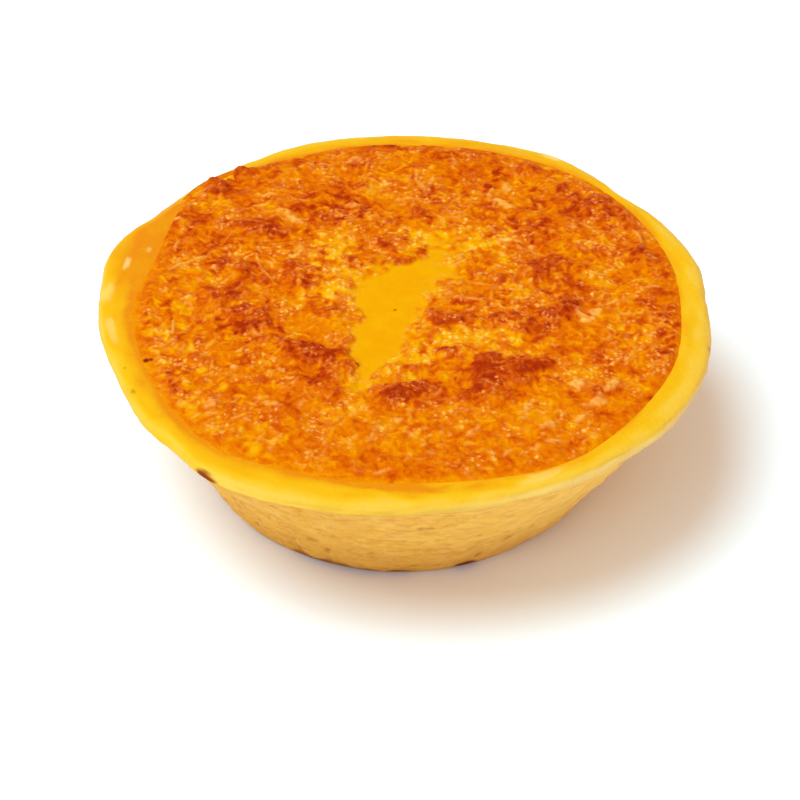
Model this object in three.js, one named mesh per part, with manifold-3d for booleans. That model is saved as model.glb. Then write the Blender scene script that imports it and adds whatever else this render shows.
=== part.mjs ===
// A cheese tartlet: a tapered shortcrust case with a broad egg-washed rim, baked full of cheese custard
// and topped with grated cheese, which has browned into a craggy crust round one bare patch of custard.
// Units are millimetres, +Z is up, and the origin is the middle of the flat base.

import * as THREE from "three";
import { mergeVertices } from "three/addons/utils/BufferGeometryUtils.js";
import Module from "manifold-3d";

const wasm = await Module();
wasm.setup();

// Driving dimensions.
const RIM_RADIUS = 40.3;
const BASE_RADIUS = 25.2;
const HEIGHT = 24.5; // to the crest of the rim
const RIM_DEPTH = 2.1; // from the crest down to where the plain wall begins
const WALL_TOP_RADIUS = 39.1; // the tin's cone, which the rim flops over
const WALL_SKEW = 1.4; // the cone's top lies this far to the right under the rim
const MOUTH_RADIUS = 36.9; // the rim's inner edge
const WALL = 3.4; // pastry thickness of the tapered wall
const FLOOR = 3.5;
const GAP = 0.3; // between pastry and filling
const CUSTARD_DOME = 0.8; // how far the custard's middle stands over its edge
const CRUST = 0.55; // mean thickness of the browned crust over the custard
const CRUST_EDGE = 0.3; // thickness of the crust at its outer edge
const RIM_SHIFT = 0.6; // the rim sits a little to the right over the base
const CASE_SEGMENTS = 96;
const TOP_RINGS = 30; // the top's mesh has this many rings, and ring k has 6k corners

// A hand-made thing isn't round: each swell adds `by` around the azimuth `at`, fading over `spread` degrees.
const RIM_SWELLS = [
  { at: 4, spread: 8, by: -0.7 },
  { at: 42, spread: 5, by: -0.8 },
  { at: 63, spread: 10, by: 0.9 },
  { at: 138, spread: 21, by: -0.8 },
  { at: 163, spread: 9, by: 1.3 },
  { at: 199, spread: 14, by: -0.9 },
  { at: 235, spread: 26, by: 1.5 },
  { at: 320, spread: 15, by: 0.9 },
];
const MOUTH_SWELLS = [
  { at: 50, spread: 18, by: 0.8 },
  { at: 166, spread: 16, by: -2.1 },
  { at: 195, spread: 14, by: -0.9 },
  { at: 232, spread: 12, by: 1.2 },
  { at: 272, spread: 14, by: -0.4 },
  { at: 303, spread: 14, by: 1.2 },
  { at: 355, spread: 16, by: -0.8 },
];
const OVERLAP_SWELLS = [
  { at: 94, spread: 12, by: 0.5 },
  { at: 135, spread: 12, by: 2 },
];
const LEAST_OVERLAP = 0.3; // how far the crust lies over the rim's inner edge everywhere

// The bare custard is a chain of round spots joined into one smooth patch.
const BARE_PATCH = [
  { x: 5.6, y: 12.5, radius: 1.8 },
  { x: 3.2, y: 7.5, radius: 2.9 },
  { x: -1.6, y: 3.2, radius: 3.8 },
  { x: -3, y: -3, radius: 3.9 },
  { x: -3, y: -8, radius: 3.3 },
  { x: -4.2, y: -13, radius: 2.1 },
  { x: -5.7, y: -17.6, radius: 1.1 },
];
const PATCH_DEPTH = 0.5;

// The crags, where the grated cheese lies thickest: middle, half length, half width, and turn in degrees.
const CRAGS = [
  { x: -12.5, y: -10.2, long: 6.5, wide: 2.8, turn: -28, high: 1.3 },
  { x: 0.8, y: -17.8, long: 5.2, wide: 2.3, turn: 0, high: 1.3 },
  { x: 11.5, y: -12.6, long: 4.6, wide: 3.2, turn: -20, high: 1.5 },
  { x: 9.8, y: -17.2, long: 2.8, wide: 2.2, turn: 60, high: 0.9 },
  { x: 17, y: -11.4, long: 3.4, wide: 2, turn: 25, high: 1 },
  { x: 5.4, y: -2.1, long: 4.4, wide: 1.8, turn: -14, high: 1.2 },
  { x: 14.2, y: -2.6, long: 3.2, wide: 2.6, turn: 20, high: 1 },
  { x: 21.2, y: 0, long: 3.4, wide: 2.1, turn: 20, high: 1.1 },
  { x: 12.6, y: 6.4, long: 1.5, wide: 1.3, turn: 0, high: 1 },
  { x: 18.4, y: 9.4, long: 3.7, wide: 2.6, turn: 50, high: 1 },
  { x: -1.2, y: 14.6, long: 3.2, wide: 2, turn: 12, high: 0.8 },
  { x: -2.6, y: 9.5, long: 3.4, wide: 0.9, turn: 8, high: 0.7 },
  { x: -14, y: 6.2, long: 4.2, wide: 2.2, turn: -58, high: 1 },
  { x: -9, y: -1.1, long: 1.9, wide: 1.5, turn: 20, high: 0.8 },
  { x: -20.5, y: -2.2, long: 3.8, wide: 2.5, turn: -10, high: 1 },
  { x: -24.5, y: 2, long: 3.2, wide: 2.2, turn: 0, high: 0.8 },
  { x: -19, y: 17.6, long: 4.2, wide: 2.1, turn: 6, high: 0.9 },
  { x: -22.5, y: 9.2, long: 3.2, wide: 1.6, turn: 0, high: 0.8 },
  { x: 1.8, y: 21.8, long: 1.9, wide: 1.1, turn: -60, high: 0.9 },
  { x: 27.6, y: 22.4, long: 6.2, wide: 2.6, turn: -50, high: 0.9 },
  { x: 33, y: 11, long: 4, wide: 1.6, turn: -72, high: 0.7 },
  { x: 17.2, y: 31.2, long: 2.8, wide: 1.5, turn: -10, high: 0.8 },
  { x: -25.8, y: 26.4, long: 2.4, wide: 1.6, turn: 50, high: 1.2 },
  { x: -21.8, y: 31, long: 2, wide: 1.4, turn: 30, high: 1.1 },
  { x: 4.8, y: -8.9, long: 3.6, wide: 1.2, turn: 4, high: 0.8 },
  { x: -11, y: -16.8, long: 4.8, wide: 1.2, turn: -24, high: 0.7 },
  { x: 28.2, y: -13.4, long: 3.4, wide: 1.7, turn: 75, high: 0.6 },
];

// Single shreds of cheese that stand out of the crust.
const SHREDS = 36;
const SHRED = { length: [3.2, 6], width: [0.9, 1.3], bend: 0.9, sides: 4, steps: 3 };
const SHREDS_INSIDE = 31; // they lie within this radius
const SHRED_SPACING = 4.3;

// The same numbers for the same seed, from 0 to 1.
function randomFrom(seed) {
  let state = seed;
  return () => {
    state = (state + 0x6d2b79f5) | 0;
    let t = Math.imul(state ^ (state >>> 15), 1 | state);
    t = (t + Math.imul(t ^ (t >>> 7), 61 | t)) ^ t;
    return ((t ^ (t >>> 14)) >>> 0) / 4294967296;
  };
}

// Noise of about -2 to 2: a sum of plane waves, with wavelengths from shortest to longest.
function planeWaves(seed, count, shortest, longest) {
  const random = randomFrom(seed);
  const waves = Array.from({ length: count }, () => {
    const wavelength = shortest * Math.pow(longest / shortest, random());
    const heading = random() * 2 * Math.PI;
    const wave = (2 * Math.PI) / wavelength;
    return { kx: wave * Math.cos(heading), ky: wave * Math.sin(heading), phase: random() * 2 * Math.PI };
  });
  const scale = Math.sqrt(2 / count);
  return (x, y) => scale * waves.reduce((sum, w) => sum + Math.cos(w.kx * x + w.ky * y + w.phase), 0);
}

const lumps = planeWaves(11, 28, 2.6, 6.5); // the grain of the crust
const ragged = planeWaves(23, 24, 2, 5); // frays the edges of patch and crags
const doughWaves = planeWaves(37, 16, 9, 26); // hand-pressed unevenness of the pastry

const { smoothstep, degToRad, lerp } = THREE.MathUtils;

function swell(list, angle) {
  return list.reduce((sum, s) => {
    const turn = Math.abs(((THREE.MathUtils.radToDeg(angle) - s.at) % 360) + 360) % 360;
    const away = Math.min(turn, 360 - turn) / s.spread;
    return sum + s.by * Math.exp(-away * away);
  }, 0);
}

// A point at this radius round the slightly leaning axis.
function placed(radius, angle, z) {
  return [radius * Math.cos(angle) + (RIM_SHIFT * z) / HEIGHT, radius * Math.sin(angle), z];
}

const rimRadius = (angle) => RIM_RADIUS + swell(RIM_SWELLS, angle);
const mouthRadius = (angle) => MOUTH_RADIUS + swell(MOUTH_SWELLS, angle);
const crustReach = (angle) => mouthRadius(angle) + LEAST_OVERLAP + swell(OVERLAP_SWELLS, angle);

// The pastry case

// The profile's corners as [share of the way from one radius to the other, height], from the base's middle
// out, up the wall, over the rim and down the inside.
function caseProfile(angle) {
  const rim = rimRadius(angle);
  const mouth = mouthRadius(angle);
  const wallTop = HEIGHT - RIM_DEPTH;
  const lean = (WALL_TOP_RADIUS + WALL_SKEW * Math.cos(angle) - BASE_RADIUS) / wallTop;
  const outside = (z) => Math.min(BASE_RADIUS + lean * z, rim - 0.2);
  const inside = (z) => outside(z) - WALL;
  return [
    [0, 0],
    [BASE_RADIUS * 0.5, 0],
    [BASE_RADIUS - 0.9, 0],
    [BASE_RADIUS + 0.15, 0.8],
    [outside(wallTop * 0.3), wallTop * 0.3],
    [outside(wallTop * 0.6), wallTop * 0.6],
    [outside(wallTop), wallTop],
    [rim - 0.15, wallTop + 0.5],
    [rim, HEIGHT - 0.95],
    [rim - 0.45, HEIGHT - 0.3],
    [rim - 1.5, HEIGHT - 0.05],
    [lerp(mouth, rim, 0.4), HEIGHT],
    [mouth, HEIGHT - 0.15],
    [mouth - 0.5, HEIGHT - 1.3],
    [inside(FLOOR + 1.5), FLOOR + 1.5],
    [inside(FLOOR + 1.5) - 1.5, FLOOR],
    [0, FLOOR],
  ];
}

const WALL_CORNERS = [3, 7]; // the profile's corners that the dough's waves move
const DOUGH_WAVE = 0.28;

function doughWave(angle, z) {
  return DOUGH_WAVE * doughWaves(angle * RIM_RADIUS, z * 2) * Math.cos(angle / 2) ** 2
    + DOUGH_WAVE * doughWaves((angle - 2 * Math.PI) * RIM_RADIUS, z * 2) * Math.sin(angle / 2) ** 2;
}

function caseGeometry() {
  const corners = caseProfile(0).length;
  const positions = [];
  for (let i = 0; i < CASE_SEGMENTS; i++) {
    const angle = (2 * Math.PI * i) / CASE_SEGMENTS;
    caseProfile(angle).forEach(([radius, z], corner) => {
      const waved = corner >= WALL_CORNERS[0] && corner <= WALL_CORNERS[1];
      const r = radius + (waved ? doughWave(angle, z) : 0);
      positions.push(...placed(r, angle, z));
    });
  }
  const index = [];
  for (let i = 0; i < CASE_SEGMENTS; i++) {
    const here = i * corners;
    const next = ((i + 1) % CASE_SEGMENTS) * corners;
    for (let c = 0; c + 1 < corners; c++) {
      if (c > 0) index.push(here + c, next + c, next + c + 1);
      if (c + 2 < corners) index.push(here + c, next + c + 1, here + c + 1);
    }
  }
  return geometryOf(positions, index);
}

// The filling

// How much of the bare patch is at this point, from 0 to 1.
function bareness(x, y) {
  let nearest = Infinity;
  for (let i = 0; i + 1 < BARE_PATCH.length; i++) {
    const a = BARE_PATCH[i];
    const b = BARE_PATCH[i + 1];
    const along = ((x - a.x) * (b.x - a.x) + (y - a.y) * (b.y - a.y)) / ((b.x - a.x) ** 2 + (b.y - a.y) ** 2);
    const t = THREE.MathUtils.clamp(along, 0, 1);
    const distance = Math.hypot(x - lerp(a.x, b.x, t), y - lerp(a.y, b.y, t));
    nearest = Math.min(nearest, distance - lerp(a.radius, b.radius, t));
  }
  return 1 - smoothstep(nearest + 0.5 * ragged(x, y), -0.6, 1);
}

// The height of the crag that stands highest at this point.
function cragHeight(x, y) {
  const fray = 1 + 0.22 * ragged(x, y);
  return CRAGS.reduce((highest, crag) => {
    const c = Math.cos(degToRad(crag.turn));
    const s = Math.sin(degToRad(crag.turn));
    const along = ((x - crag.x) * c + (y - crag.y) * s) / (crag.long * fray);
    const across = ((y - crag.y) * c - (x - crag.x) * s) / (crag.wide * fray);
    const away = Math.hypot(along, across);
    return Math.max(highest, crag.high * (1 - smoothstep(away, 0.45, 1.25)));
  }, 0);
}

function topHeight(x, y) {
  const r = Math.hypot(x, y);
  const angle = Math.atan2(y, x);
  const inward = crustReach(angle) - r;
  const custard = HEIGHT + CUSTARD_DOME * (1 - (r / MOUTH_RADIUS) ** 2);
  const cover = 1 - bareness(x, y);
  const grain = 0.3 * lumps(x, y);
  const crust = CRUST + grain + cragHeight(x, y) * (0.85 + 0.12 * lumps(y, x));
  const height = custard - PATCH_DEPTH * (1 - cover) + cover * Math.max(crust, 0.1);
  const edge = HEIGHT + GAP + CRUST_EDGE;
  return lerp(edge, Math.max(height, edge), smoothstep(inward, 0, 2.4));
}

// A disc of rings whose outline is the crust's reach, with its height from topHeight, and the sides and
// underside that fit the case.
function fillingGeometry() {
  const positions = placed(0, 0, topHeight(0, 0));
  const index = [];
  const start = (ring) => (ring ? 1 + 3 * ring * (ring - 1) : 0);
  const corner = (ring, i) => (ring ? start(ring) + (i % (6 * ring)) : 0);
  for (let ring = 1; ring <= TOP_RINGS; ring++) {
    const share = ring / TOP_RINGS;
    for (let i = 0; i < 6 * ring; i++) {
      const angle = (2 * Math.PI * i) / (6 * ring);
      const r = share * MOUTH_RADIUS + share ** 4 * (crustReach(angle) - MOUTH_RADIUS);
      positions.push(...placed(r, angle, topHeight(r * Math.cos(angle), r * Math.sin(angle))));
    }
    for (let side = 0; side < 6; side++) {
      for (let k = 0; k < ring; k++) {
        const outer = side * ring + k;
        const inner = side * (ring - 1) + k;
        index.push(corner(ring, outer), corner(ring, outer + 1), corner(ring - 1, inner));
        if (k < ring - 1) {
          index.push(corner(ring - 1, inner), corner(ring, outer + 1), corner(ring - 1, inner + 1));
        }
      }
    }
  }
  const around = 6 * TOP_RINGS;
  let upper = start(TOP_RINGS);
  const below = [
    (angle) => [crustReach(angle) - 0.1, HEIGHT + GAP],
    (angle) => [mouthRadius(angle) - GAP, HEIGHT + GAP * 0.6],
    (angle) => [mouthRadius(angle) - 0.5 - GAP, HEIGHT - 1.3],
    (angle) => {
      const corners = caseProfile(angle);
      return [corners[corners.length - 3][0] - GAP, FLOOR + 1.5];
    },
    (angle) => {
      const corners = caseProfile(angle);
      return [corners[corners.length - 2][0] - GAP, FLOOR + GAP];
    },
  ];
  for (const place of below) {
    const lower = positions.length / 3;
    for (let i = 0; i < around; i++) {
      const angle = (2 * Math.PI * i) / around;
      const [r, z] = place(angle);
      positions.push(...placed(r, angle, z));
    }
    for (let i = 0; i < around; i++) {
      const j = (i + 1) % around;
      index.push(upper + i, lower + i, lower + j, upper + i, lower + j, upper + j);
    }
    upper = lower;
  }
  const middle = positions.length / 3;
  positions.push(...placed(0, 0, FLOOR + GAP));
  for (let i = 0; i < around; i++) index.push(upper + i, middle, upper + ((i + 1) % around));
  return geometryOf(positions, index);
}

// One bent shred of cheese, lying on the crust.
function shredGeometry(x, y, random) {
  const length = lerp(...SHRED.length, random());
  const width = lerp(...SHRED.width, random());
  const heading = random() * Math.PI;
  const bend = SHRED.bend * (2 * random() - 1);
  const direction = new THREE.Vector2(Math.cos(heading), Math.sin(heading));
  const at = (t) => {
    const along = (t - 0.5) * length;
    const aside = bend * (1 - 4 * (t - 0.5) ** 2);
    const px = x + direction.x * along - direction.y * aside;
    const py = y + direction.y * along + direction.x * aside;
    const dip = 0.35 * Math.abs(2 * t - 1) ** 2; // its ends melt into the crust
    const z = topHeight(px, py) + 0.12 * width - dip;
    return new THREE.Vector3(px + (RIM_SHIFT * z) / HEIGHT, py, z);
  };
  const path = new THREE.CatmullRomCurve3([0, 0.33, 0.67, 1].map(at));
  const section = new THREE.Shape(
    Array.from({ length: SHRED.sides }, (_, i) => {
      const angle = (2 * Math.PI * i) / SHRED.sides;
      return new THREE.Vector2(0.42 * width * Math.cos(angle), 0.5 * width * Math.sin(angle));
    }),
  );
  return new THREE.ExtrudeGeometry(section, { steps: SHRED.steps, extrudePath: path, bevelEnabled: false });
}

// Where the shreds lie: spread evenly over the crust, clear of the bare patch and of each other.
function shredPlaces(random) {
  const places = [];
  while (places.length < SHREDS) {
    const r = SHREDS_INSIDE * Math.sqrt(random());
    const angle = 2 * Math.PI * random();
    const place = new THREE.Vector2(r * Math.cos(angle), r * Math.sin(angle));
    const clear = places.every((p) => p.distanceTo(place) > SHRED_SPACING);
    if (clear && bareness(place.x, place.y) < 0.05) places.push(place);
  }
  return places;
}

function fillingWithShreds() {
  const random = randomFrom(5);
  const shreds = shredPlaces(random).map((p) => solidOf(shredGeometry(p.x, p.y, random)));
  return geometryFrom(shreds.reduce((whole, shred) => whole.add(shred), solidOf(fillingGeometry())));
}

// Geometry to solid and back

function geometryOf(positions, index) {
  const geometry = new THREE.BufferGeometry();
  geometry.setAttribute("position", new THREE.Float32BufferAttribute(positions, 3));
  geometry.setIndex(index);
  geometry.computeVertexNormals();
  return geometry;
}

function solidOf(geometry) {
  const bare = geometry.clone();
  bare.deleteAttribute("normal");
  bare.deleteAttribute("uv");
  const merged = mergeVertices(bare, 1e-3);
  return new wasm.Manifold(
    new wasm.Mesh({
      numProp: 3,
      vertProperties: merged.attributes.position.array,
      triVerts: new Uint32Array(merged.index.array),
    }),
  );
}

function geometryFrom(solid) {
  const mesh = solid.getMesh();
  return geometryOf(Array.from(mesh.vertProperties), Array.from(mesh.triVerts));
}

function named(name, geometry, color, roughness) {
  const mesh = new THREE.Mesh(geometry, new THREE.MeshStandardMaterial({ color, roughness, metalness: 0 }));
  mesh.name = name;
  return mesh;
}

const tartlet = new THREE.Group();
tartlet.add(named("pastry_case", caseGeometry(), 0xf0b94e, 0.6));
tartlet.add(named("filling", fillingWithShreds(), 0xe8851a, 0.4));

export default tartlet;
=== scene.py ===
import math

import bmesh
import bpy
import numpy as np
from mathutils import Matrix, Vector


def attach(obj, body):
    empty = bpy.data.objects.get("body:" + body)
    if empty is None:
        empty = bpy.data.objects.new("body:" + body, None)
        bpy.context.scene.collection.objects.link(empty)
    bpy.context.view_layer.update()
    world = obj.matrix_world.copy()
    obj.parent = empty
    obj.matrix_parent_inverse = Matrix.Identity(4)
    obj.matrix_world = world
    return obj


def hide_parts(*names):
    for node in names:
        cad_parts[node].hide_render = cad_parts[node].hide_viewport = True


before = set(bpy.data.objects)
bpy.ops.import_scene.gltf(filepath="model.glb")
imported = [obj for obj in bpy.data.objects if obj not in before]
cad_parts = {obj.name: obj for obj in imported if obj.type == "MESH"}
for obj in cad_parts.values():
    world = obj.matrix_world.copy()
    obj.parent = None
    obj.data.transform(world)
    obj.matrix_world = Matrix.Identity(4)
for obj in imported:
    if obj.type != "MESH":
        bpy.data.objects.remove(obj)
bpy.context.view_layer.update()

# A cheese tartlet on a white table. Shapes are worked out in millimetres and scaled to metres at the end.
# The origin is the middle of the flat base. The top is laid out round the rim's own middle, which leans
# RIM_SHIFT to the right over the base. WALL_SKEW is how much further out the wall's top is on the right,
# and how much less on the left.

MM = 0.001
RIM_RADIUS = 40.3
BASE_RADIUS = 25.2
HEIGHT = 24.5
RIM_DEPTH = 2.1
WALL_TOP = HEIGHT - RIM_DEPTH
WALL_TOP_RADIUS = 39.1
WALL_SKEW = 1.4
MOUTH_RADIUS = 36.9
WALL = 3.4
FLOOR = 3.5
FILLING_FLOOR = 4.5
RIM_SHIFT = 0.6
CUSTARD_DOME = 0.8
CRUST_THICKNESS = 0.12
PATCH_DEPTH = 0.12

# Swells of the hand-made outline: (azimuth, spread in degrees, millimetres added).
RIM_SWELLS = [
    (4, 8, -0.7),
    (30, 14, -0.35),
    (42, 5, -0.9),
    (63, 10, 0.8),
    (118, 6, -0.3),
    (138, 21, -0.8),
    (157, 5, 0.5),
    (163, 9, 1.2),
    (199, 14, -0.65),
    (226, 7, -0.6),
    (237, 26, 1.4),
    (314, 9, -0.4),
    (322, 15, 0.9),
    (342, 7, 0.35),
]
MOUTH_SWELLS = [
    (50, 18, 0.8),
    (166, 16, -2.1),
    (195, 14, -0.9),
    (232, 12, 1.2),
    (272, 14, -0.4),
    (303, 14, 1.2),
    (355, 16, -0.8),
]

# How far the crust lies over the rim's inner edge: LEAST_OVERLAP and what the swells add.
LEAST_OVERLAP = 0.3
OVERLAP_SWELLS = [(75, 35, 0.6), (135, 12, 2.0), (347, 12, 0.4)]

# The bare custard is a chain of round spots: (x, y, radius).
BARE_PATCH = [
    (4.8, 12.2, 1.6),
    (3.6, 8.6, 2.7),
    (1.2, 5.4, 3.7),
    (-1.8, 2.6, 4.1),
    (-2.8, -3.0, 4.0),
    (-3.4, -8.4, 3.5),
    (-4.2, -13.4, 1.9),
    (-5.4, -17.6, 0.9),
]

# The crags of browned cheese: (x, y, half length, half width, turn in degrees, height, how brown).
CRAGS = [
    (-11.2, -12.4, 6.8, 2.8, -26, 1.3, 0.9),
    (-0.7, -19.4, 4.6, 2.2, 2, 1.3, 0.95),
    (11.4, -14.4, 5.0, 3.2, -10, 1.4, 1.0),
    (10.6, -17.8, 3.4, 2.6, 0, 1.0, 1.0),
    (17.0, -13.2, 3.0, 2.1, 25, 1.0, 0.85),
    (5.2, -3.7, 4.2, 1.7, -16, 1.2, 0.9),
    (14.4, -4.6, 2.7, 2.4, -30, 1.0, 0.85),
    (20.4, -1.8, 3.2, 2.1, 45, 1.1, 0.85),
    (12.4, 4.8, 1.5, 1.2, 0, 1.0, 0.9),
    (18.2, 7.6, 3.5, 2.5, 50, 1.0, 0.65),
    (-1.8, 13.0, 3.0, 1.7, 12, 0.8, 0.6),
    (-2.4, 8.3, 3.6, 0.9, 8, 0.7, 0.9),
    (-14.0, 4.8, 4.2, 2.0, -58, 1.0, 0.8),
    (-8.8, -2.4, 1.7, 1.4, 20, 0.8, 0.8),
    (-20.2, -3.6, 3.0, 2.6, -40, 1.0, 0.75),
    (-25.0, 0.6, 3.2, 2.0, 0, 0.8, 0.6),
    (-19.4, 16.4, 3.6, 2.2, 10, 0.9, 0.8),
    (-22.6, 7.4, 3.2, 1.9, 0, 0.8, 0.7),
    (1.6, 20.0, 1.9, 1.1, -60, 0.9, 0.8),
    (26.8, 21.2, 6.4, 2.4, -50, 0.9, 0.7),
    (32.0, 10.0, 4.4, 1.5, -72, 0.7, 0.45),
    (16.4, 30.4, 2.8, 1.3, -10, 0.7, 0.35),
    (-25.6, 25.8, 2.2, 1.3, 50, 1.0, 0.6),
    (-21.8, 30.2, 1.8, 1.2, 30, 0.9, 0.55),
    (5.4, -10.6, 2.6, 1.3, 4, 0.8, 0.7),
    (-10.6, -18.2, 3.4, 1.1, -24, 0.7, 0.6),
    (24.4, -18.6, 2.0, 1.2, 55, 0.6, 0.5),
    (-26.4, -12.2, 1.6, 1.2, 0, 0.6, 0.5),
]

# Places where the cheese stayed pale, with painted glints: (x, y, radius, how much less brown).
PALE_PLACES = [
    (-8.8, 4.2, 4.8, 0.36),
    (-9.0, 12.4, 3.6, 0.3),
    (-7.5, 16.6, 2.4, 0.12),
    (2.0, 13.6, 2.6, 0.28),
    (5.6, 17.0, 2.6, 0.16),
    (10.0, 13.4, 3.4, 0.3),
    (13.0, 8.4, 2.4, 0.12),
    (6.4, -7.6, 3.6, 0.28),
    (14.4, -8.8, 3.4, 0.3),
    (1.6, -12.0, 2.8, 0.26),
    (-5.5, -14.5, 1.6, 0.1),
    (-6.6, -23.4, 2.4, 0.12),
    (21.6, -13.8, 2.4, 0.16),
    (25.0, 6.4, 2.6, 0.15),
    (-19.0, -12.8, 2.4, 0.12),
    (-28.0, 8.6, 2.2, 0.06),
    (15.6, 1.6, 2.4, 0.26),
]

# Places that browned more, or less, than their surroundings: (x, y, radius, how much).
BROWNED_PLACES = [
    (8.4, 7.4, 2.4, 0.25),
    (28.0, 12.0, 3.2, 0.2),
    (35.4, -8.6, 2.6, 0.4),
    (30.0, -7.5, 3.0, -0.14),
    (35.2, -5.0, 2.4, 0.2),
    (-33.4, -6.6, 2.4, -0.2),
    (12.0, 0.0, 2.4, 0.16),
    (-9.4, 19.6, 4.4, 0.28),
    (10.0, 31.5, 5.0, 0.14),
    (12.0, 22.0, 5.0, 0.14),
    (20.0, 23.5, 3.6, 0.16),
    (-30.0, 14.0, 5.0, 0.16),
    (-18.0, 11.8, 4.0, 0.14),
    (-19.6, 4.6, 3.4, 0.2),
    (-19.6, -8.0, 2.8, 0.2),
    (22.0, 3.4, 2.6, 0.14),
    (20.0, -28.0, 3.4, 0.18),
    (-24.0, -21.5, 2.8, 0.14),
    (0.0, -30.0, 3.2, -0.14),
    (-31.0, -4.4, 4.0, -0.28),
    (-28.4, -10.0, 3.4, -0.2),
    (-28.4, -21.5, 5.0, -0.4),
    (-20.0, -31.5, 4.2, -0.3),
    (-8.0, -29.4, 3.6, -0.14),
    (3.0, -24.5, 4.2, -0.16),
    (-4.0, 24.4, 2.6, -0.2),
    (4.4, 28.4, 2.6, -0.14),
    (20.0, 31.5, 2.8, -0.24),
    (9.6, -16.0, 2.6, 0.14),
    (-7.6, -11.8, 2.6, 0.16),
    (16.4, 16.0, 2.4, 0.16),
    (32.6, 16.0, 2.4, -0.16),
    (12.2, 15.8, 1.9, -0.14),
    (-25.4, 22.4, 2.4, -0.16),
    (-8.0, 1.4, 2.4, -0.14),
    (-24.4, 4.4, 2.4, -0.16),
    (-20.4, 8.6, 2.4, -0.14),
    (-24.4, -24.4, 2.6, 0.14),
    (8.2, -36.0, 2.4, 0.14),
    (18.2, -10.6, 3.0, -0.2),
    (-6.4, 8.0, 2.0, 0.15),
    (-1.6, 8.8, 2.6, 0.2),
    (-1.0, 32.0, 3.4, -0.2),
]

# The common grated cheese: how many shreds, and how far inside the crust's edge they start.
SHREDS = 8600
SHREDS_INSIDE = 1.5

# Lone pale lumps: (x, y, radius).
PALE_LUMPS = [
    (12.9, -8.0, 0.4),
    (9.8, 5.8, 0.45),
    (16.8, 12.5, 0.45),
    (-25.3, 7.3, 0.45),
    (-21.9, -14.2, 0.5),
    (-31.0, 19.0, 0.45),
]

# Strands that stand out: (x, y, length, half width, heading in degrees, bend, how pale).
STRANDS = [
    (-29.9, 7.5, 3.4, 0.2, 33, 0.3, 0.8),
    (-27.4, 8.9, 2.8, 0.16, 20, 0.3, 0.8),
    (-18.7, 7.4, 6.4, 0.15, 110, 0.5, 0.6),
    (-30.0, -5.5, 3.2, 0.14, 91, 0.1, 0.9),
    (25.5, 7.0, 2.6, 0.16, 165, 0.5, 0.6),
    (8.3, 0.3, 4.1, 0.22, 165, 0.2, 0.6),
    (30.9, 15.2, 4.0, 0.18, 107, -0.4, 0.5),
    (-30.5, 12.2, 2.3, 0.25, 80, 0.1, 0.6),
    (-28.7, 0.5, 1.6, 0.3, 35, 0.1, 0.5),
]

# Ragged flecks of pale cheese: (x, y, half length, half width, heading in degrees, how pale).
FLECKS = [
    (-15.8, 19.2, 1.9, 0.7, 136, 0.9),
    (23.2, -2.8, 1.4, 0.8, 132, 1.0),
    (25.0, -1.6, 0.9, 0.5, 34, 0.9),
    (26.6, -16.6, 1.9, 0.7, 62, 0.9),
    (24.4, -20.2, 1.6, 0.7, 41, 0.9),
    (22.2, -23.4, 1.4, 0.5, 60, 0.8),
    (22.3, -16.8, 1.1, 1.0, 70, 1.2),
    (13.4, 13.8, 1.0, 0.8, 24, 1.0),
    (12.7, 22.9, 2.0, 0.6, 134, 0.9),
    (14.0, 26.2, 1.2, 0.7, 100, 0.7),
    (6.6, 32.2, 1.2, 0.5, 90, 0.7),
    (-7.4, 32.6, 1.3, 0.6, 45, 0.8),
    (-6.7, 21.4, 1.0, 0.5, 0, 0.7),
    (2.4, 26.0, 1.6, 0.5, 120, 0.6),
    (-13.9, 11.4, 1.8, 0.4, 104, 0.5),
    (15.5, -22.4, 2.2, 0.5, 75, 0.8),
    (18.5, -25.0, 1.2, 0.6, 20, 0.7),
    (18.7, -28.2, 1.2, 0.5, 10, 0.8),
    (8.6, -26.8, 1.1, 0.6, 60, 0.7),
    (3.3, -30.4, 1.5, 0.5, 110, 0.6),
    (-0.8, -24.6, 0.8, 0.5, 0, 0.6),
    (-3.2, -26.2, 0.9, 0.8, 0, 0.7),
    (-24.2, -20.8, 1.5, 0.7, 80, 0.8),
    (-17.0, -21.6, 1.7, 0.5, -20, 0.7),
    (-24.6, -23.4, 1.4, 0.5, 10, 0.6),
]

# Dark specks on the filling: (x, y, radius).
SPECKS = [(-33.2, -12.2, 0.5), (-32.6, -12.1, 0.35), (-6.0, -13.7, 0.25), (-1.3, -1.8, 0.22)]

# Marks on the rim: (azimuth, radius, half length round the rim, half width, how strong).
RIM_SPECKS = [(200.9, 38.3, 0.4, 0.25, 0.5), (208.1, 39.1, 0.5, 0.3, 0.5)]
# Cream spots on the rim's top, partly pale specks and partly painted highlights.
RIM_CREAM_AND_HIGHLIGHTS = [
    (166.3, 38.0, 1.1, 0.35, 0.9),
    (160.7, 36.3, 0.5, 0.4, 0.6),
    (59.8, 40.3, 1.4, 0.8, 0.9),
    (176.0, 39.2, 2.2, 0.9, 0.5),
    (188.0, 38.6, 2.0, 0.8, 0.5),
    (296.0, 38.8, 4.0, 0.8, 0.4),
]
RIM_BLEEDS = [(271.0, 37.6, 4.0, 1.4, 0.45), (262.0, 37.2, 2.0, 0.8, 0.25)]

# Swells round the case: how much more orange its rim is, how strong the painted highlight on the rim's side
# is and how much higher its lower edge is, and how much painted light and painted shade the wall gets.
RIM_TONE_SWELLS = [(154, 17, 0.65), (222, 24, 0.06), (338, 55, -0.35)]
# The rim's lower side gets a painted highlight, strongest at the front right.
RIM_SIDE_HIGHLIGHT_SWELLS = [(314, 31, 1.1), (240, 12, 0.2)]
GLAZE_EDGE_SWELLS = [(306, 30, 0.3)]
WALL_PAINTED_LIGHT_SWELLS = [(320, 32, 0.45)]
WALL_PAINTED_SHADE_SWELLS = [(250, 22, 0.5), (305, 25, -0.6)]

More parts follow.
